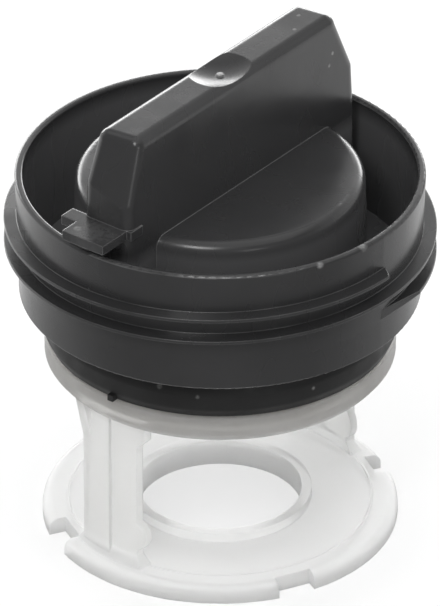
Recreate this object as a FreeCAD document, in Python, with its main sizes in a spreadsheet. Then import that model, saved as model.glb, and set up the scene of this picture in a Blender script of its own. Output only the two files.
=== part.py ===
import FreeCAD, Part
import Sketcher
import os

doc = FreeCAD.newDocument("WasherPumpFilter")

# Driving sizes in millimetres and degrees. Z runs up the screw axis, the foot flange stands on z = 0,
# the bar handle lies along Y and its lock tongue points to -Y.
sizes = {
    # skirt of the cap, with the snap bead that holds the insert
    "skirt_outer": 24.3,
    "skirt_wall": 1.8,
    "turning_gap": 0.3,
    "bead_proud": 0.65,
    "bead_rise": 0.6,
    "bead_ramp": 0.4,
    "bead_height": 0.5,
    # foot flange of the insert
    "flange_margin": 3.2,
    "flange_height": 2.6,
    "flange_round": 1.6,
    "eye_radius": 12.5,
    "eye_lip_wall": 1.5,
    "eye_lip_rise": 1.5,
    "notch_depth": 2.8,
    "notch_half": 2.4,
    "key_notch_depth": 2.0,
    "key_notch_half": 2.95,
    "notch_front_left": -119.0,
    "key_notch_front": -26.5,
    "notch_back_right": 57.5,
    "notch_back_left": 152.0,
    # posts of the insert
    "post_turn": -6.7,
    "post_inset": 0.3,
    "post_wall": 1.3,
    "post_height": 25.8,
    "post_half": 5.4,
    "post_flare": 1.4,
    "post_foot_height": 1.8,
    "post_foot_flare": 1.0,
    "post_head_straight": 3.4,
    "post_head_height": 5.0,
    "lobe_radius": 2.9,
    "lobe_centre": 4.0,
    "lobe_height": 7.6,
    "panel_proud": 0.6,
    "panel_start": 12.6,
    "panel_span": 14.2,
    "gusset_height": 6.8,
    "gusset_proud": 1.3,
    "gusset_span": 5.0,
    "joining": 0.5,
    # collar of the insert
    "ledge_height": 1.6,
    "ledge_overlap": 0.3,
    "groove_depth": 0.35,
    "collar_wall": 1.4,
    "collar_bevel": 0.8,
    "collar_bevel_height": 1.0,
    "lip_height": 0.9,
    # seal
    "seal_gap": 0.2,
    "seal_height": 7.2,
    "seal_proud": 2.7,
    "seal_foot_proud": 2.1,
    "seal_shoulder_proud": 1.3,
    "seal_bulge_rise": 1.3,
    "seal_bulge_height": 2.4,
    "seal_round": 1.0,
    "nub_turn": 1.2,
    "nub_half": 0.5,
    "nub_proud": 0.6,
    "nub_height": 1.0,
    # body of the cap
    "shoulder": 6.2,
    "plug_height": 4.6,
    "body_height": 19.9,
    "body_wall": 1.5,
    "rim_draft": 0.5,
    "rim_wall": 1.25,
    "trough_width": 6.6,
    "boss_draft": 0.5,
    "boss_round": 1.7,
    "rim_round": 0.45,
    "edge_round": 0.3,
    "skin": 2.0,
    # bar handle
    "bar_height": 17.6,
    "bar_half_top": 3.7,
    "bar_half_foot": 4.7,
    "bar_end_gap": 1.3,
    "bar_end_skew": 8.0,
    "bar_far_slant": 4.7,
    "bar_far_height": 11.6,
    "bar_near_slant": 3.5,
    "bar_near_height": 9.6,
    "bar_ridge_round": 1.7,
    "bar_corner_round": 1.6,
    "dish_radius": 14.0,
    "dish_depth": 1.0,
    "gate_radius": 0.55,
    "gate_height": 0.25,
    # lock tongue
    "tongue_half": 3.85,
    "tongue_overhang": 2.2,
    "tongue_rise": 3.8,
    "tongue_height": 1.5,
    "tongue_root_depth": 4.3,
    "tongue_shoulder_half": 4.7,
    "tongue_shoulder_setback": 1.5,
    "ear_width": 2.8,
    "ear_setback": 1.8,
    "ear_length": 2.7,
    # thread
    "thread_proud": 1.7,
    "thread_sink": 0.3,
    "thread_pitch": 3.75,
    "thread_turns": 2.002,
    "thread_start": 6.5,
    "thread_flat": 0.5,
    "thread_rise": 0.3,
    "thread_fall": 1.1,
    "thread_lead_in": 20.0,
    "thread_run_out": 1.6,
}

# Radii and heights that follow from the driving sizes.
sums = {
    "skirt_inner": "skirt_outer - skirt_wall",
    "post_outer": "skirt_outer - post_inset",
    "post_inner": "post_outer - post_wall",
    "flange_radius": "post_outer + flange_margin",
    "notch_floor": "flange_radius - notch_depth",
    "key_notch_floor": "flange_radius - key_notch_depth",
    "ledge_low": "flange_height + post_height",
    "ledge_top": "ledge_low + ledge_height",
    "ledge_inner": "skirt_inner - ledge_overlap",
    "bead_low": "ledge_top + bead_rise",
    "bead_top": "bead_low + bead_ramp + bead_height",
    "groove_radius": "skirt_outer + bead_proud + groove_depth",
    "groove_top": "bead_top + turning_gap",
    "collar_radius": "groove_radius + collar_wall",
    "collar_low": "ledge_low + collar_bevel_height",
    "collar_top": "groove_top + lip_height",
    "seal_low": "collar_top + seal_gap",
    "seal_bulge_low": "seal_low + seal_bulge_rise",
    "seal_bulge_top": "seal_bulge_low + seal_bulge_height",
    "seal_radius": "skirt_outer + seal_proud",
    "body_low": "seal_low + seal_height",
    "body_radius": "skirt_outer + shoulder",
    "rim_radius": "body_radius + rim_draft",
    "rim_inner": "rim_radius - rim_wall",
    "rim_top": "body_low + body_height",
    "trough_outer": "body_radius - body_wall",
    "trough_floor": "body_low + skin",
    "boss_foot": "trough_outer - trough_width",
    "boss_radius": "boss_foot - boss_draft",
    "bar_top": "rim_top + bar_height",
    "bar_reach": "trough_outer - bar_end_gap",
    "tongue_reach": "rim_radius + tongue_overhang",
    "tongue_low": "rim_top + tongue_rise - tongue_height",
    "tongue_root": "trough_outer - tongue_root_depth",
    "tongue_shoulder": "trough_outer - tongue_shoulder_setback",
    "ear_inner": "trough_outer - ear_setback",
    "ear_outer": "ear_inner + ear_length",
    "ear_side": "tongue_half + ear_width",
    "thread_crest": "rim_radius + thread_proud",
    "thread_root": "body_radius - thread_sink",
    "thread_low": "body_low + thread_start",
}

sheet = doc.addObject("Spreadsheet::Sheet", "Sizes")
for row, (name, value) in enumerate(sizes.items(), start=1):
    sheet.set(f"A{row}", name)
    sheet.set(f"B{row}", str(value))
    sheet.setAlias(f"B{row}", name)
doc.recompute()


# A sum of size names as an expression on the sheet.
def tied(text):
    words = []
    for word in text.replace("(", " ( ").replace(")", " ) ").split():
        if word in sizes:
            words.append(f"Sizes.{word}")
        elif word in sums:
            words.append(f"( {tied(sums[word])} )")
        else:
            words.append(word)
    return " ".join(words)


# The present value of such a sum.
def worth(text):
    found = sheet.evalExpression(tied(text))
    return float(getattr(found, "Value", found))


def plane_of(body, role):
    return [feature for feature in body.Origin.OriginFeatures if feature.Role == role][0]


def new_body(name, label):
    body = doc.addObject("PartDesign::Body", name)
    body.Label = label
    return body


# A sketch on an origin plane. Turned, it swings about the screw axis; lifted, it moves along its own normal.
def new_sketch(body, name, role, lift="0", turn="0"):
    sketch = body.newObject("Sketcher::SketchObject", name)
    sketch.AttachmentSupport = [(plane_of(body, role), "")]
    sketch.MapMode = "FlatFace"
    upright = role != "XY_Plane"
    screw_axis = FreeCAD.Vector(0, 1, 0) if upright else FreeCAD.Vector(0, 0, 1)
    swing = FreeCAD.Rotation(screw_axis, worth(turn))
    sketch.AttachmentOffset = FreeCAD.Placement(FreeCAD.Vector(0, 0, 0), swing)
    angle = f"( {tied(turn)} ) * 1 deg"
    height = f"( {tied(lift)} )"
    sketch.setExpression("AttachmentOffset.Rotation.Angle", angle)
    if upright:
        sketch.setExpression("AttachmentOffset.Base.x", f"{height} * sin({angle})")
        height = f"{height} * cos({angle})"
    sketch.setExpression("AttachmentOffset.Base.z", height)
    return sketch


def tie(sketch, label, geometry, vertex, kind, text):
    index = sketch.addConstraint(Sketcher.Constraint(kind, -1, 1, geometry, vertex, worth(text)))
    sketch.renameConstraint(index, label)
    sketch.setExpression(f"Constraints.{label}", tied(text))


# A closed outline with every corner tied to the sheet.
def outline(sketch, corners, tag):
    points = [FreeCAD.Vector(worth(across), worth(along), 0) for across, along in corners]
    first = sketch.GeometryCount
    count = len(points)
    for here in range(count):
        sketch.addGeometry(Part.LineSegment(points[here], points[(here + 1) % count]), False)
    for here in range(count):
        after = (here + 1) % count
        sketch.addConstraint(Sketcher.Constraint("Coincident", first + here, 2, first + after, 1))
    for here, (across, along) in enumerate(corners):
        tie(sketch, f"{tag}_across_{here}", first + here, 1, "DistanceX", across)
        tie(sketch, f"{tag}_along_{here}", first + here, 1, "DistanceY", along)


# A circle with its centre and radius tied to the sheet.
def disc(sketch, across, along, radius, tag):
    centre = FreeCAD.Vector(worth(across), worth(along), 0)
    index = sketch.addGeometry(Part.Circle(centre, FreeCAD.Vector(0, 0, 1), worth(radius)), False)
    tie(sketch, f"{tag}_across", index, 3, "DistanceX", across)
    tie(sketch, f"{tag}_along", index, 3, "DistanceY", along)
    limit = sketch.addConstraint(Sketcher.Constraint("Radius", index, worth(radius)))
    sketch.renameConstraint(limit, f"{tag}_radius")
    sketch.setExpression(f"Constraints.{tag}_radius", tied(radius))


# A full turn of a sketch about the screw axis, added or cut.
def turned(body, name, sketch, kind):
    feature = body.newObject(f"PartDesign::{kind}", name)
    feature.Profile = sketch
    feature.ReferenceAxis = (sketch, ["V_Axis"])
    feature.Angle = 360
    doc.recompute()
    return feature


# A straight push of a sketch, added or cut.
def pushed(body, name, sketch, kind, length, both_ways=False, reverse=False):
    feature = body.newObject(f"PartDesign::{kind}", name)
    feature.Profile = sketch
    feature.setExpression("Length", tied(length))
    if both_ways:
        feature.SideType = "Symmetric"
    feature.Reversed = reverse
    doc.recompute()
    return feature


def rounded(body, name, base, radius, test):
    picked = [f"Edge{n}" for n, edge in enumerate(base.Shape.Edges, start=1) if test(edge)]
    feature = body.newObject("PartDesign::Fillet", name)
    feature.Base = (base, picked)
    feature.setExpression("Radius", tied(radius))
    doc.recompute()
    return feature


# Picks the round edges of a given radius and height.
def ring_edge(*rings):
    wanted = [(worth(radius), worth(height)) for radius, height in rings]

    def test(edge):
        curve = edge.Curve
        if not isinstance(curve, Part.Circle):
            return False
        return any(abs(curve.Radius - radius) < 0.02 and abs(curve.Center.z - height) < 0.02
                   for radius, height in wanted)
    return test


# Screw cap: cup, trough and boss in one turned piece.
cap = new_body("ScrewCap", "screw_cap")
section = new_sketch(cap, "CapSection", "XZ_Plane")
outline(section, [
    ("0", "ledge_top"),
    ("skirt_outer", "ledge_top"),
    ("skirt_outer", "bead_low"),
    ("skirt_outer + bead_proud", "bead_low + bead_ramp"),
    ("skirt_outer + bead_proud", "bead_top"),
    ("skirt_outer", "bead_top"),
    ("skirt_outer", "body_low"),
    ("body_radius", "body_low"),
    ("body_radius", "body_low + plug_height"),
    ("rim_radius", "rim_top"),
    ("rim_inner", "rim_top"),
    ("trough_outer", "trough_floor"),
    ("boss_foot", "trough_floor"),
    ("boss_radius", "rim_top"),
    ("0", "rim_top"),
], "cup")
cup = turned(cap, "CupTurned", section, "Revolution")
boss_edge = rounded(cap, "BossEdge", cup, "boss_round", ring_edge(("boss_radius", "rim_top")))
rim_edges = rounded(cap, "RimEdges", boss_edge, "rim_round", ring_edge(
    ("rim_radius", "rim_top"), ("rim_inner", "rim_top")))
body_edge = rounded(cap, "BodyEdge", rim_edges, "edge_round", ring_edge(("body_radius", "body_low")))

# Bar handle: drafted sides, slanted and slightly skewed ends, rounded ridges.
section = new_sketch(cap, "BarSection", "XZ_Plane")
outline(section, [
    ("- bar_half_top", "bar_top"),
    ("- bar_half_foot", "rim_top"),
    ("- bar_half_foot", "trough_floor - joining"),
    ("bar_half_foot", "trough_floor - joining"),
    ("bar_half_foot", "rim_top"),
    ("bar_half_top", "bar_top"),
], "bar")
bar = pushed(cap, "BarPad", section, "Pad", "bar_reach * 2", both_ways=True)

# Each end is cut by a slanted plane that runs a fifth past the bar's reach, so that it clears both corners.
section = new_sketch(cap, "BarEndSection", "YZ_Plane", turn="bar_end_skew")
for end, side, slant, height in (
    ("far", "", "bar_far_slant", "bar_far_height"),
    ("near", "- ", "bar_near_slant", "bar_near_height"),
):
    top = f"{side}( bar_reach - {slant} )"
    foot = f"{side}( bar_reach + {slant} / 5 )"
    low = f"bar_top - {height} * 6 / 5"
    outline(section, [
        (top, "bar_top"),
        (foot, low),
        (f"{side}( bar_reach + skin )", low),
        (f"{side}( bar_reach + skin )", "bar_top + skin"),
        (top, "bar_top + skin"),
    ], end)
bar_ends = pushed(cap, "BarEnds", section, "Pocket", "bar_half_foot * 4", both_ways=True)


# The two long ridges of the bar.
def bar_ridge(edge):
    return all(abs(vertex.Z - worth("bar_top")) < 0.01 and abs(abs(vertex.X) - worth("bar_half_top")) < 0.01
               for vertex in edge.Vertexes) and edge.Length > worth("bar_half_top * 3")


# The edges round each end of the bar, up one corner, over the top and down the other.
def bar_corner(edge):
    ends = [vertex.Point for vertex in edge.Vertexes]
    if len(ends) != 2 or edge.Length > worth("bar_reach"):
        return False
    if min(end.z for end in ends) > worth("bar_top - bar_ridge_round - joining"):
        return True
    if abs(ends[0].z - ends[1].z) < worth("joining"):
        return False
    return all(abs(end.y) > worth("bar_reach - bar_far_slant - joining")
               and worth("bar_half_top - joining") < abs(end.x) < worth("bar_half_foot + joining")
               for end in ends)


bar_ridges = rounded(cap, "BarRidges", bar_ends, "bar_ridge_round", bar_ridge)
bar_corners = rounded(cap, "BarCorners", bar_ridges, "bar_corner_round", bar_corner)

# Round dish in the middle of the bar's top, with the moulding gate at its centre.
dish = cap.newObject("PartDesign::SubtractiveSphere", "BarDish")
dish.setExpression("Radius", tied("dish_radius"))
dish.setExpression("Placement.Base.z", tied("bar_top - dish_depth + dish_radius"))
doc.recompute()
gate = cap.newObject("PartDesign::AdditiveCylinder", "GateNub")
gate.setExpression("Radius", tied("gate_radius"))
gate.setExpression("Height", tied("gate_height + joining"))
gate.setExpression("Placement.Base.z", tied("bar_top - dish_depth - joining"))
doc.recompute()

# Lock tongue over the rim, with an ear on one side.
section = new_sketch(cap, "TongueSection", "XY_Plane", lift="tongue_low")
outline(section, [
    ("tongue_half", "- tongue_reach"),
    ("tongue_half", "- tongue_shoulder"),
    ("tongue_shoulder_half", "- tongue_shoulder"),
    ("tongue_shoulder_half", "- tongue_root"),
    ("- tongue_half", "- tongue_root"),
    ("- tongue_half", "- ear_inner"),
    ("- ear_side", "- ear_inner"),
    ("- ear_side", "- ear_outer"),
    ("- tongue_half", "- ear_outer"),
    ("- tongue_half", "- tongue_reach"),
], "tongue")
tongue = pushed(cap, "TonguePad", section, "Pad", "tongue_height")

# Screw thread: one right-hand ridge, its ends tapered into the wall.
section = new_sketch(cap, "ThreadSection", "XZ_Plane")
outline(section, [
    ("thread_root", "thread_low + thread_rise"),
    ("thread_crest", "thread_low"),
    ("thread_crest", "thread_low - thread_flat"),
    ("thread_root", "thread_low - thread_flat - thread_fall"),
], "ridge")
thread = cap.newObject("PartDesign::AdditiveHelix", "Thread")
thread.Profile = section
thread.ReferenceAxis = (section, ["V_Axis"])
thread.Mode = "pitch-turns-angle"
thread.setExpression("Pitch", tied("thread_pitch"))
thread.setExpression("Turns", tied("thread_turns"))
thread.LeftHanded = False
thread.Reversed = False
doc.recompute()
for end, turns, length, start in (
    ("Low", "0", "thread_lead_in", "body_radius + rim_draft / 8"),
    ("Top", "thread_turns", "- thread_run_out", "rim_radius"),
):
    section = new_sketch(cap, f"Thread{end}EndSection", "XY_Plane",
                         lift=f"thread_low + thread_pitch * ( {turns} - 0.75 )", turn=f"{turns} * 360")
    outline(section, [
        ("thread_crest + joining", "0"),
        ("thread_crest + joining", length),
        (start, "0"),
    ], "taper")
    pushed(cap, f"Thread{end}End", section, "Pocket", "thread_pitch", reverse=True)

# Inside of the skirt, the boss and the bar, open towards the insert.
section = new_sketch(cap, "InsideSection", "XZ_Plane")
outline(section, [
    ("0", "ledge_top - joining"),
    ("skirt_inner", "ledge_top - joining"),
    ("skirt_inner", "body_low"),
    ("boss_foot - skin", "trough_floor"),
    ("boss_radius - skin", "rim_top - skin"),
    ("0", "rim_top - skin"),
], "inside")
inside = turned(cap, "InsideCut", section, "Groove")
section = new_sketch(cap, "BarCavitySection", "XZ_Plane")
outline(section, [
    ("- ( bar_half_top - skin )", "bar_top - dish_depth - skin"),
    ("- ( bar_half_foot - skin )", "rim_top - skin - joining"),
    ("bar_half_foot - skin", "rim_top - skin - joining"),
    ("bar_half_top - skin", "bar_top - dish_depth - skin"),
], "cavity")
bar_cavity = pushed(cap, "BarCavity", section, "Pocket", "( boss_radius - skin ) * 2", both_ways=True)

# Seal: rubber ring on the skirt below the shoulder, with a moulding nub.
seal = new_body("SealRing", "seal_ring")
section = new_sketch(seal, "SealSection", "XZ_Plane")
outline(section, [
    ("skirt_outer", "seal_low"),
    ("skirt_outer + seal_foot_proud", "seal_low"),
    ("seal_radius", "seal_bulge_low"),
    ("seal_radius", "seal_bulge_top"),
    ("skirt_outer + seal_shoulder_proud", "body_low"),
    ("skirt_outer", "body_low"),
], "seal")
ring = turned(seal, "SealTurned", section, "Revolution")
seal_soft = rounded(seal, "SealSoft", ring, "seal_round", ring_edge(
    ("seal_radius", "seal_bulge_low"), ("seal_radius", "seal_bulge_top")))
section = new_sketch(seal, "NubSection", "XZ_Plane", lift="skirt_outer + joining", turn="nub_turn")
outline(section, [
    ("- nub_half", "seal_low"),
    ("nub_half", "seal_low"),
    ("nub_half", "seal_low + nub_height"),
    ("- nub_half", "seal_low + nub_height"),
], "nub")
nub = pushed(seal, "NubPad", section, "Pad", "seal_proud + nub_proud - joining")

# Trap insert: foot flange, posts and collar.
insert = new_body("TrapInsert", "trap_insert")
section = new_sketch(insert, "FlangeSection", "XZ_Plane")
outline(section, [
    ("0", "0"),
    ("flange_radius", "0"),
    ("flange_radius", "flange_height"),
    ("0", "flange_height"),
], "flange")
flange = turned(insert, "FlangeTurned", section, "Revolution")
flange_edge = rounded(insert, "FlangeEdge", flange, "flange_round", ring_edge(
    ("flange_radius", "flange_height")))

section = new_sketch(insert, "PostSection", "XZ_Plane", turn="post_turn")
outline(section, [
    ("- ( post_half + post_flare )", "flange_height"),
    ("post_half + post_flare", "flange_height"),
    ("post_half", "flange_height + post_foot_height"),
    ("post_half", "ledge_low - post_head_height"),
    ("post_half + post_flare", "ledge_low - post_head_straight"),
    ("post_half + post_flare", "ledge_low + joining"),
    ("- ( post_half + post_flare )", "ledge_low + joining"),
    ("- ( post_half + post_flare )", "ledge_low - post_head_straight"),
    ("- post_half", "ledge_low - post_head_height"),
    ("- post_half", "flange_height + post_foot_height"),
], "post")
posts = pushed(insert, "PostPad", section, "Pad", "collar_radius * 2", both_ways=True)
section = new_sketch(insert, "LobeSection", "XZ_Plane", turn="post_turn")
disc(section, "lobe_centre", "lobe_height", "lobe_radius", "lobe")
lobes = pushed(insert, "LobePad", section, "Pad", "collar_radius * 2", both_ways=True)
section = new_sketch(insert, "PostTrimSection", "XZ_Plane")
outline(section, [
    ("post_outer + post_foot_flare", "flange_height"),
    ("post_outer", "flange_height + post_foot_height"),
    ("post_outer", "ledge_low + joining"),
    ("collar_radius + skin", "ledge_low + joining"),
    ("collar_radius + skin", "flange_height"),
], "outside")
outline(section, [
    ("0", "flange_height"),
    ("post_inner", "flange_height"),
    ("post_inner", "ledge_low + joining"),
    ("0", "ledge_low + joining"),
], "inside")
post_trim = turned(insert, "PostTrim", section, "Groove")

section = new_sketch(insert, "CollarSection", "XZ_Plane")
outline(section, [
    ("ledge_inner", "ledge_low"),
    ("collar_radius - collar_bevel", "ledge_low"),
    ("collar_radius", "collar_low"),
    ("collar_radius", "collar_top"),
    ("skirt_outer + turning_gap", "collar_top"),
    ("skirt_outer + turning_gap", "groove_top"),
    ("groove_radius", "groove_top"),
    ("groove_radius", "ledge_top"),
    ("ledge_inner", "ledge_top"),
], "collar")
collar = turned(insert, "CollarTurned", section, "Revolution")
collar_edge = rounded(insert, "CollarEdge", collar, "edge_round", ring_edge(
    ("collar_radius", "collar_top"), ("collar_radius", "collar_low")))

# Raised panel down one half of each post, with a short gusset at its outer edge.
sides = []
for name, span, foot, lean in (
    ("panel", "panel_span", "flange_height", "0"),
    ("gusset", "gusset_span", "ledge_low - gusset_height", "gusset_proud"),
):
    title = name.title()
    section = new_sketch(insert, f"{title}Section", "XZ_Plane", turn="post_turn - 90 - panel_start")
    outline(section, [
        ("post_outer - joining", foot),
        ("post_outer + panel_proud", foot),
        (f"post_outer + panel_proud + {lean}", "ledge_low"),
        (f"post_outer + panel_proud + {lean}", "ledge_low + joining"),
        ("post_outer - joining", "ledge_low + joining"),
    ], name)
    side = turned(insert, f"{title}Turned", section, "Revolution")
    side.setExpression("Angle", f"{tied(span)} * 1 deg")
    doc.recompute()
    sides.append(side)
pairs = insert.newObject("PartDesign::PolarPattern", "PostSides")
pairs.Originals = sides
pairs.Axis = (section, ["V_Axis"])
pairs.Angle = 360
pairs.Occurrences = 2
insert.Tip = pairs
doc.recompute()

# Eye for the pump inlet, with a raised lip, and the locating notches round the flange.
section = new_sketch(insert, "LipSection", "XY_Plane")
disc(section, "0", "0", "eye_radius + eye_lip_wall", "lip")
lip = pushed(insert, "LipPad", section, "Pad", "flange_height + eye_lip_rise")
section = new_sketch(insert, "EyeSection", "XY_Plane")
disc(section, "0", "0", "eye_radius", "eye")
eye = pushed(insert, "EyeCut", section, "Pocket", "flange_height + eye_lip_rise + joining", reverse=True)
for name, floor, half in (
    ("notch_front_left", "notch_floor", "key_notch_half"),
    ("key_notch_front", "key_notch_floor", "key_notch_half"),
    ("notch_back_right", "notch_floor", "notch_half"),
    ("notch_back_left", "notch_floor", "notch_half"),
):
    title = name.title().replace("_", "")
    section = new_sketch(insert, f"{title}Section", "XY_Plane", turn=name)
    outline(section, [
        (floor, f"- {half}"),
        ("flange_radius + skin", f"- {half}"),
        ("flange_radius + skin", half),
        (floor, half),
    ], "notch")
    pushed(insert, f"{title}Cut", section, "Pocket", "flange_height + joining", reverse=True)

doc.recompute()
for item in doc.Objects:
    if "Invalid" in item.State or "Error" in item.State:
        raise RuntimeError(f"{item.Name} did not build: {item.State}")

os.makedirs("parts", exist_ok=True)
for body in (cap, seal, insert):
    shape = body.Shape
    if shape.isNull() or not shape.isValid() or len(shape.Solids) != 1:
        raise RuntimeError(f"{body.Label} is not one sound solid")
    shape.exportStep(f"parts/{body.Label}.step")
    print(body.Label, round(shape.Volume))
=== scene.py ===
import math

import bpy
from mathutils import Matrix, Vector

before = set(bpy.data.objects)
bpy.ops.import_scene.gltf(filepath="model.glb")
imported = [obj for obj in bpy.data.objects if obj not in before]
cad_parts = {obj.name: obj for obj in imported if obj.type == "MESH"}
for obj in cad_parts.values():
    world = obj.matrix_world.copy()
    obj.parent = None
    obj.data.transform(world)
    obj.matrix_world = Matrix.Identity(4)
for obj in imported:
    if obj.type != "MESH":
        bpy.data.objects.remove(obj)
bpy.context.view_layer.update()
print("frame loaded:", ", ".join(sorted(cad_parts)))


# camera, as the filter is seen in the picture
pictureView = {
    "azimuth": 38.0,           # degrees round the screw axis, from the tongue's side
    "elevation": 31.4,
    "distance": 1.7,           # metres from the aim point
    "aimHeight": 0.038,        # on the screw axis
    "drop": 0.00114,           # the aim stands a little above the picture's middle
    "slide": 0.00003,
    "pixelsPerMetre": 6600.0,  # at the aim point
    "longSide": 606,           # pixels
    "filmSize": 36.0,
    "clipNear": 0.01,
    "clipFar": 50.0,
}


def outwards(azimuth, elevation):
    turn = math.radians(azimuth)
    tilt = math.radians(elevation)
    return Vector((math.sin(turn) * math.cos(tilt), -math.cos(turn) * math.cos(tilt), math.sin(tilt)))


def placeCamera():
    back = outwards(pictureView["azimuth"], pictureView["elevation"])
    side = Vector((-back.y, back.x, 0.0)).normalized()
    up = back.cross(side)
    aim = Vector((0.0, 0.0, pictureView["aimHeight"]))
    spot = aim + back * pictureView["distance"] - up * pictureView["drop"] - side * pictureView["slide"]
    bpy.ops.object.select_all(action="DESELECT")
    bpy.ops.object.camera_add(location=spot)
    camera = bpy.context.object
    camera.name = "pictureCamera"
    camera.rotation_mode = "QUATERNION"
    camera.rotation_quaternion = (-back).to_track_quat("-Z", "Y")
    span = pictureView["longSide"] / pictureView["pixelsPerMetre"]
    camera.data.sensor_width = pictureView["filmSize"]
    camera.data.lens = pictureView["filmSize"] * pictureView["distance"] / span
    camera.data.clip_start = pictureView["clipNear"]
    camera.data.clip_end = pictureView["clipFar"]
    bpy.context.scene.camera = camera


placeCamera()
print("camera placed")


# node helpers for the finishes below
noiseSpan = (0.3, 0.7)      # nearly all of a noise lies between these
noiseRoughness = 0.55
patchSpan = (0.35, 0.6)     # a harder cut, for patches in a mark
patchLevels = (0.3, 1.0)
bevelSamples = 6
millimetre = 0.001


def startFinish(name):
    finish = bpy.data.materials.new(name)
    finish.use_nodes = True
    tree = finish.node_tree
    tree.nodes.clear()
    output = tree.nodes.new("ShaderNodeOutputMaterial")
    shader = tree.nodes.new("ShaderNodeBsdfPrincipled")
    tree.links.new(shader.outputs["BSDF"], output.inputs["Surface"])
    place = tree.nodes.new("ShaderNodeTexCoord").outputs["Object"]
    return finish, tree, shader, place


def addNoise(tree, place, scale, detail=3.0, stretch=None):
    noise = tree.nodes.new("ShaderNodeTexNoise")
    noise.inputs["Scale"].default_value = scale
    noise.inputs["Detail"].default_value = detail
    noise.inputs["Roughness"].default_value = noiseRoughness
    if stretch:
        mapping = tree.nodes.new("ShaderNodeMapping")
        mapping.inputs["Scale"].default_value = stretch
        tree.links.new(place, mapping.inputs["Vector"])
        place = mapping.outputs["Vector"]
    tree.links.new(place, noise.inputs["Vector"])
    return noise.outputs["Fac"]


def spread(tree, value, fromLow, fromHigh, toLow, toHigh):
    span = tree.nodes.new("ShaderNodeMapRange")
    span.inputs["From Min"].default_value = fromLow
    span.inputs["From Max"].default_value = fromHigh
    span.inputs["To Min"].default_value = toLow
    span.inputs["To Max"].default_value = toHigh
    tree.links.new(value, span.inputs["Value"])
    return span.outputs["Result"]


def feed(tree, socket, value):   # a socket takes a link from another node, or a plain value
    if isinstance(value, bpy.types.NodeSocket):
        tree.links.new(value, socket)
    else:
        socket.default_value = value


def joined(tree, how, first, second=0.0):
    sums = tree.nodes.new("ShaderNodeMath")
    sums.operation = how
    feed(tree, sums.inputs[0], first)
    feed(tree, sums.inputs[1], second)
    return sums.outputs["Value"]


def choose(tree, switch, off, on):
    mix = tree.nodes.new("ShaderNodeMix")
    feed(tree, mix.inputs[0], switch)
    feed(tree, mix.inputs[2], off)
    feed(tree, mix.inputs[3], on)
    return mix.outputs[0]


def measured(tree, how, place, other):
    vectors = tree.nodes.new("ShaderNodeVectorMath")
    vectors.operation = how
    feed(tree, vectors.inputs[0], place)
    feed(tree, vectors.inputs[1], other)
    return vectors.outputs["Value"]


def opaque(colour):
    return colour + (1.0,) if isinstance(colour, tuple) else colour


def blendColours(tree, amount, low, high):
    mix = tree.nodes.new("ShaderNodeMix")
    mix.data_type = "RGBA"
    feed(tree, mix.inputs[0], amount)
    feed(tree, mix.inputs[6], opaque(low))
    feed(tree, mix.inputs[7], opaque(high))
    return mix.outputs[2]


def unevenness(tree, place, scale, low, high, detail=3.0, stretch=None):   # soft noise from low to high
    return spread(tree, addNoise(tree, place, scale, detail, stretch), *noiseSpan, low, high)


def roughen(tree, shader, height, strength, depth, under=None):
    bump = tree.nodes.new("ShaderNodeBump")
    bump.inputs["Strength"].default_value = strength
    bump.inputs["Distance"].default_value = depth
    tree.links.new(height, bump.inputs["Height"])
    if under:
        tree.links.new(under, bump.inputs["Normal"])
    tree.links.new(bump.outputs["Normal"], shader.inputs["Normal"])
    return bump.outputs["Normal"]


def softenEdges(tree, radius):
    edge = tree.nodes.new("ShaderNodeBevel")
    edge.samples = bevelSamples
    edge.inputs["Radius"].default_value = radius
    return edge.outputs["Normal"]


def wornEdges(tree, rounded, edgeTurn):
    facing = tree.nodes.new("ShaderNodeNewGeometry").outputs["True Normal"]
    return spread(tree, measured(tree, "DOT_PRODUCT", rounded, facing), *edgeTurn, 0.0, 1.0)


def dustSpecks(tree, place, cellsPerMetre, size, share, strength):
    cells = tree.nodes.new("ShaderNodeTexVoronoi")
    cells.inputs["Scale"].default_value = cellsPerMetre
    tree.links.new(place, cells.inputs["Vector"])
    near = spread(tree, cells.outputs["Distance"], size, size * 0.5, 0.0, strength)
    split = tree.nodes.new("ShaderNodeSeparateColor")
    tree.links.new(cells.outputs["Color"], split.inputs["Color"])
    chosen = joined(tree, "LESS_THAN", split.outputs["Red"], share)
    return joined(tree, "MULTIPLY", near, chosen)


def rubbedSpots(tree, place, spots, patchScale):
    total = 0.0
    for x, y, z, size, strength in spots:
        middle = Vector((x, y, z)) * millimetre
        edge = size * millimetre
        mark = spread(tree, measured(tree, "DISTANCE", place, middle), edge, edge * 0.4, 0.0, strength)
        total = joined(tree, "MAXIMUM", total, mark)
    patchy = spread(tree, addNoise(tree, place, patchScale), *patchSpan, *patchLevels)
    return joined(tree, "MULTIPLY", total, patchy)


def heightAndRadius(tree, place):
    parts = tree.nodes.new("ShaderNodeSeparateXYZ")
    tree.links.new(place, parts.inputs["Vector"])
    acrossSquared = joined(tree, "MULTIPLY", parts.outputs["X"], parts.outputs["X"])
    alongSquared = joined(tree, "MULTIPLY", parts.outputs["Y"], parts.outputs["Y"])
    return parts.outputs["Z"], joined(tree, "SQRT", joined(tree, "ADD", acrossSquared, alongSquared))


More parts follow.
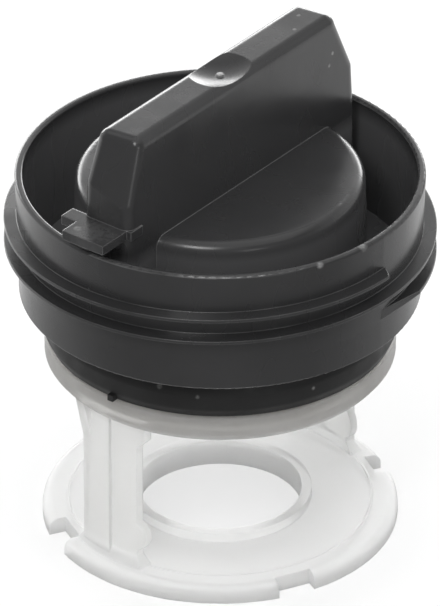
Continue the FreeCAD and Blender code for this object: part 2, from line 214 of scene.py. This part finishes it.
# screw cap: dark grey moulding with a satin gloss, rubbed along its edges
capFinish = {
    "dark": (0.024, 0.024, 0.0245),
    "light": (0.030, 0.030, 0.031),
    "cloudScale": 55.0,
    "trough": (0.095, 0.095, 0.097),   # painted light: lighter grey between boss and rim, for light that does not reach into the trough
    "troughTop": (0.0596, 0.0570),     # height where it starts and where it is full
    "troughSides": (0.0216, 0.0300),   # radius of the boss and of the rim's inner wall
    "rubbed": (0.40, 0.40, 0.40),
    "specks": (160.0, 0.035, 0.12, 0.35),   # cells in a metre, size in a cell, share of cells, strength
    "patchScale": 1400.0,
    "rough": (0.20, 0.31),
    "rubScale": 120.0,
    "rubStretch": (1.0, 1.0, 0.35),    # longer up and down
    "gloss": 0.75,
    "edgeRadius": 0.00025,
    "edgeTurn": (0.985, 0.88),         # cosine of the edge's turn where wear starts and where it is full
    "edgeWear": 0.32,
    "swell": (140.0, 0.12, 0.0004),    # scale, strength and depth of the shallow waves
    "grain": (2600.0, 0.10, 0.00006),  # the same for the fine grain
    "spots": (  # x, y, z in mm, radius in mm, strength
        (30.3, -4.3, 60.0, 0.9, 0.45),
        (28.4, -12.2, 59.8, 0.7, 0.4),
        (-2.4, -31.3, 63.8, 0.8, 0.35),
        (0.5, -30.0, 63.8, 4.5, 0.07),
        (4.0, 22.4, 71.6, 0.4, 0.45),
        (4.1, 21.5, 69.9, 0.4, 0.4),
        (-0.7, 20.1, 77.6, 0.4, 0.4),
        (1.4, 16.4, 77.6, 0.4, 0.35),
        (0.0, 0.0, 76.9, 0.9, 1.0),
    ),
}


def makeCapPlastic():
    finish, tree, shader, place = startFinish("capPlastic")
    cloud = unevenness(tree, place, capFinish["cloudScale"], 0.0, 1.0, detail=4.0)
    colour = blendColours(tree, cloud, capFinish["dark"], capFinish["light"])

    # painted light: the trough between boss and rim gets a lighter colour, for light that does not reach in
    # there
    height, radius = heightAndRadius(tree, place)
    deep = spread(tree, height, *capFinish["troughTop"], 0.0, 1.0)
    bossSide, rimSide = capFinish["troughSides"]
    outside = joined(tree, "GREATER_THAN", radius, bossSide)
    inside = joined(tree, "LESS_THAN", radius, rimSide)
    paintedTroughLight = joined(tree, "MULTIPLY", deep, joined(tree, "MULTIPLY", outside, inside))
    colour = blendColours(tree, paintedTroughLight, colour, capFinish["trough"])

    rounded = softenEdges(tree, capFinish["edgeRadius"])
    wear = joined(tree, "MULTIPLY", cloud, capFinish["edgeWear"])
    chafed = joined(tree, "MULTIPLY", wornEdges(tree, rounded, capFinish["edgeTurn"]), wear)
    specks = dustSpecks(tree, place, *capFinish["specks"])
    rubbed = rubbedSpots(tree, place, capFinish["spots"], capFinish["patchScale"])
    marks = joined(tree, "MAXIMUM", joined(tree, "MAXIMUM", specks, rubbed), chafed)
    colour = blendColours(tree, marks, colour, capFinish["rubbed"])
    tree.links.new(colour, shader.inputs["Base Color"])

    rough = unevenness(tree, place, capFinish["rubScale"], *capFinish["rough"], 2.0, capFinish["rubStretch"])
    tree.links.new(rough, shader.inputs["Roughness"])
    shader.inputs["Specular IOR Level"].default_value = capFinish["gloss"]
    swellScale, *swell = capFinish["swell"]
    grainScale, *grain = capFinish["grain"]
    soft = roughen(tree, shader, addNoise(tree, place, swellScale, detail=2.0), *swell, rounded)
    roughen(tree, shader, addNoise(tree, place, grainScale, detail=2.0), *grain, soft)
    return finish


# sealing ring: matt black rubber
sealFinish = {
    "dark": (0.010, 0.010, 0.010),
    "light": (0.016, 0.016, 0.016),
    "cloudScale": 90.0,
    "dust": (0.16, 0.16, 0.155),
    "specks": (210.0, 0.05, 0.10, 0.5),     # cells in a metre, size in a cell, share of cells, strength
    "patchScale": 1400.0,
    "rough": (0.42, 0.58),
    "roughScale": 300.0,
    "grain": (1500.0, 0.15, 0.00008),  # scale, strength, depth
    "spots": (  # x, y, z in mm, radius in mm, strength
        (8.3, -25.4, 37.4, 0.5, 0.8),
        (13.8, -23.2, 36.5, 0.4, 0.7),
        (25.2, -9.6, 35.8, 0.4, 0.7),
    ),
}


def makeSealRubber():
    finish, tree, shader, place = startFinish("sealRubber")
    cloud = unevenness(tree, place, sealFinish["cloudScale"], 0.0, 1.0, detail=4.0)
    colour = blendColours(tree, cloud, sealFinish["dark"], sealFinish["light"])
    specks = dustSpecks(tree, place, *sealFinish["specks"])
    rubbed = rubbedSpots(tree, place, sealFinish["spots"], sealFinish["patchScale"])
    colour = blendColours(tree, joined(tree, "MAXIMUM", specks, rubbed), colour, sealFinish["dust"])
    tree.links.new(colour, shader.inputs["Base Color"])
    rough = unevenness(tree, place, sealFinish["roughScale"], *sealFinish["rough"])
    tree.links.new(rough, shader.inputs["Roughness"])
    grainScale, *grain = sealFinish["grain"]
    roughen(tree, shader, addNoise(tree, place, grainScale), *grain)
    return finish


# trap insert: milky white moulding; its collar has painted shade, darker under the seal, standing in for the
# shade there and the dark skirt seen through it
insertFinish = {
    "shade": (0.79, 0.79, 0.78),
    "light": (0.84, 0.84, 0.83),
    "cloudScale": 70.0,
    # painted light: the flange and foot are lighter, against the shade that the cap casts on them
    "flange": (0.93, 0.93, 0.925),
    "flangeFade": (0.0030, 0.0055),   # height where the painted light on the foot ends
    "flangeShare": 0.9,
    # painted shade: colour of the collar under the seal, for its shade and the dark skirt seen through it
    "collar": (0.36, 0.345, 0.325),
    "collarFoot": (0.0262, 0.0294),   # height where the painted shade starts and where it is full
    "collarWall": (0.0232, 0.0246),   # radius likewise
    "paintedCollarShade": 0.7,
    "veilScale": 160.0,               # patches in the painted shade
    "veil": (0.8, 1.0),
    "rough": (0.34, 0.48),
    "roughScale": 160.0,
    "clearness": 0.58,
    "bending": 1.2,                   # index of refraction, low as in cloudy plastic
    "glow": 0.8,
    "glowDepth": 0.006,
    "edgeRadius": 0.0003,
    "swell": (220.0, 0.10, 0.0003),   # scale, strength and depth of the shallow waves
    "ringRadius": 0.0232,             # fine raised line round the flange
    "ringWidth": 0.00025,
    "ringTop": 0.0030,                # the line is below this height only
    "ringBump": (0.6, 0.0004),
}


def makeInsertPlastic():
    finish, tree, shader, place = startFinish("insertPlastic")
    cloud = unevenness(tree, place, insertFinish["cloudScale"], 0.0, 1.0)
    colour = blendColours(tree, cloud, insertFinish["shade"], insertFinish["light"])

    height, radius = heightAndRadius(tree, place)
    # painted light on the flange and foot, against the cap's shade
    low = spread(tree, height, *insertFinish["flangeFade"], insertFinish["flangeShare"], 0.0)
    colour = blendColours(tree, low, colour, insertFinish["flange"])
    # painted shade: the collar darkens towards the seal and on its outer wall
    upper = spread(tree, height, *insertFinish["collarFoot"], 0.0, insertFinish["paintedCollarShade"])
    outer = spread(tree, radius, *insertFinish["collarWall"], 0.0, 1.0)
    veil = unevenness(tree, place, insertFinish["veilScale"], *insertFinish["veil"])
    paintedCollarShade = joined(tree, "MULTIPLY", joined(tree, "MULTIPLY", upper, outer), veil)
    colour = blendColours(tree, paintedCollarShade, colour, insertFinish["collar"])
    tree.links.new(colour, shader.inputs["Base Color"])

    rough = unevenness(tree, place, insertFinish["roughScale"], *insertFinish["rough"])
    tree.links.new(rough, shader.inputs["Roughness"])
    shader.inputs["Transmission Weight"].default_value = insertFinish["clearness"]
    shader.inputs["IOR"].default_value = insertFinish["bending"]
    shader.inputs["Subsurface Weight"].default_value = insertFinish["glow"]
    shader.inputs["Subsurface Radius"].default_value = (1.0, 1.0, 1.0)
    shader.inputs["Subsurface Scale"].default_value = insertFinish["glowDepth"]

    swellScale, *swell = insertFinish["swell"]
    rounded = softenEdges(tree, insertFinish["edgeRadius"])
    soft = roughen(tree, shader, addNoise(tree, place, swellScale, detail=2.0), *swell, rounded)
    offRing = joined(tree, "ABSOLUTE", joined(tree, "SUBTRACT", radius, insertFinish["ringRadius"]))
    line = spread(tree, offRing, insertFinish["ringWidth"], 0.0, 0.0, 1.0)
    onFlange = joined(tree, "LESS_THAN", height, insertFinish["ringTop"])
    roughen(tree, shader, joined(tree, "MULTIPLY", line, onFlange), *insertFinish["ringBump"], soft)
    return finish


def dressNode(name, finish):
    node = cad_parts[name]
    node.data.materials.clear()
    node.data.materials.append(finish)


dressNode("screw_cap", makeCapPlastic())
dressNode("seal_ring", makeSealRubber())
dressNode("trap_insert", makeInsertPlastic())
print("finishes given to the three mouldings")


# pale floor and soft studio light
studio = {
    "floorSide": 6.0,
    "floorDrop": 0.0001,           # a hair below the foot, so that the two faces don't coincide
    "floorColour": (0.93, 0.93, 0.93),
    "floorWhite": 0.62,            # share of plain white that is seen on the floor
    "backdropAzimuth": 218.0,      # where the bright backdrop stands
    "floorTurn": (-0.06, 0.06),    # metres towards it, from the dim floor in front to the bright one
    "floorGloss": (0.16, 1.00),    # what gloss shows of those
    "wallTurn": (-0.3, 0.5),       # the same for the walls, by direction
    "wallGloss": (0.13, 1.00),
    "ceilingTurn": (0.50, 0.80),
    "ceiling": 0.35,               # share that is left overhead
    "skyLevel": 0.65,              # what the sky gives the object from the sides
    "skyTop": 1.35,                # and from straight above
    "aimHeight": 0.04,
    "lamps": (                     # name, azimuth, elevation, distance, width, height, power
        ("frontSoftbox", 18.0, 44.0, 1.5, 0.4, 0.4, 5.0),
        ("topSoftbox", 60.0, 80.0, 1.3, 1.8, 1.8, 5.0),
        ("rightStrip", 62.0, 7.0, 1.5, 0.3, 0.35, 1.0),
        ("backPanel", 224.0, 9.0, 1.0, 1.6, 0.36, 10.0),
    ),
}
towardsBackdrop = outwards(studio["backdropAzimuth"], 0.0)


def layFloor():
    bpy.ops.object.select_all(action="DESELECT")
    bpy.ops.mesh.primitive_plane_add(size=studio["floorSide"], location=(0.0, 0.0, -studio["floorDrop"]))
    floor = bpy.context.object
    floor.name = "paleFloor"
    paper = bpy.data.materials.new("floorPaper")
    paper.use_nodes = True
    tree = paper.node_tree
    tree.nodes.clear()
    output = tree.nodes.new("ShaderNodeOutputMaterial")
    matt = tree.nodes.new("ShaderNodeBsdfDiffuse")
    matt.inputs["Color"].default_value = opaque(studio["floorColour"])
    white = tree.nodes.new("ShaderNodeEmission")
    place = tree.nodes.new("ShaderNodeTexCoord").outputs["Object"]
    path = tree.nodes.new("ShaderNodeLightPath")
    through = path.outputs["Is Transmission Ray"]
    solid = joined(tree, "SUBTRACT", 1.0, through)   # rough clear plastic counts as gloss too
    mirrored = joined(tree, "MULTIPLY", path.outputs["Is Glossy Ray"], solid)
    behind = measured(tree, "DOT_PRODUCT", place, towardsBackdrop)
    shown = spread(tree, behind, *studio["floorTurn"], *studio["floorGloss"])
    tree.links.new(choose(tree, mirrored, 1.0, shown), white.inputs["Strength"])
    seen = joined(tree, "MULTIPLY", path.outputs["Is Camera Ray"], studio["floorWhite"])
    share = joined(tree, "MAXIMUM", seen, joined(tree, "MAXIMUM", mirrored, through))
    mix = tree.nodes.new("ShaderNodeMixShader")
    tree.links.new(share, mix.inputs["Fac"])
    tree.links.new(matt.outputs["BSDF"], mix.inputs[1])
    tree.links.new(white.outputs["Emission"], mix.inputs[2])
    tree.links.new(mix.outputs["Shader"], output.inputs["Surface"])
    paper.cycles.emission_sampling = "NONE"   # its white is only looked at, and lights nothing
    floor.data.materials.append(paper)


def raiseSky():
    world = bpy.data.worlds.new("studioSky")
    bpy.context.scene.world = world
    world.use_nodes = True
    tree = world.node_tree
    tree.nodes.clear()
    output = tree.nodes.new("ShaderNodeOutputWorld")
    sky = tree.nodes.new("ShaderNodeBackground")
    path = tree.nodes.new("ShaderNodeLightPath")
    direction = tree.nodes.new("ShaderNodeTexCoord").outputs["Generated"]
    behind = measured(tree, "DOT_PRODUCT", direction, towardsBackdrop)
    walls = spread(tree, behind, *studio["wallTurn"], *studio["wallGloss"])
    above = measured(tree, "DOT_PRODUCT", direction, (0.0, 0.0, 1.0))
    overhead = spread(tree, above, *studio["ceilingTurn"], 1.0, studio["ceiling"])
    walls = joined(tree, "MULTIPLY", walls, overhead)
    dome = spread(tree, above, 0.0, 1.0, studio["skyLevel"], studio["skyTop"])
    level = choose(tree, path.outputs["Is Glossy Ray"], dome, walls)
    seen = joined(tree, "MAXIMUM", path.outputs["Is Camera Ray"], path.outputs["Is Transmission Ray"])
    tree.links.new(choose(tree, seen, level, 1.0), sky.inputs["Strength"])
    tree.links.new(sky.outputs["Background"], output.inputs["Surface"])
    world.cycles.sampling_method = "NONE"


def hangLamps():
    aim = Vector((0.0, 0.0, studio["aimHeight"]))
    for name, azimuth, elevation, distance, width, height, power in studio["lamps"]:
        away = outwards(azimuth, elevation)
        bpy.ops.object.select_all(action="DESELECT")
        bpy.ops.object.light_add(type="AREA", location=aim + away * distance)
        lamp = bpy.context.object
        lamp.name = name
        lamp.rotation_mode = "QUATERNION"
        lamp.rotation_quaternion = (-away).to_track_quat("-Z", "Y")
        lamp.data.shape = "RECTANGLE"
        lamp.data.size = width
        lamp.data.size_y = height
        lamp.data.energy = power


layFloor()
raiseSky()
hangLamps()
bpy.context.scene.view_settings.view_transform = "Standard"
print("floor and lights set")
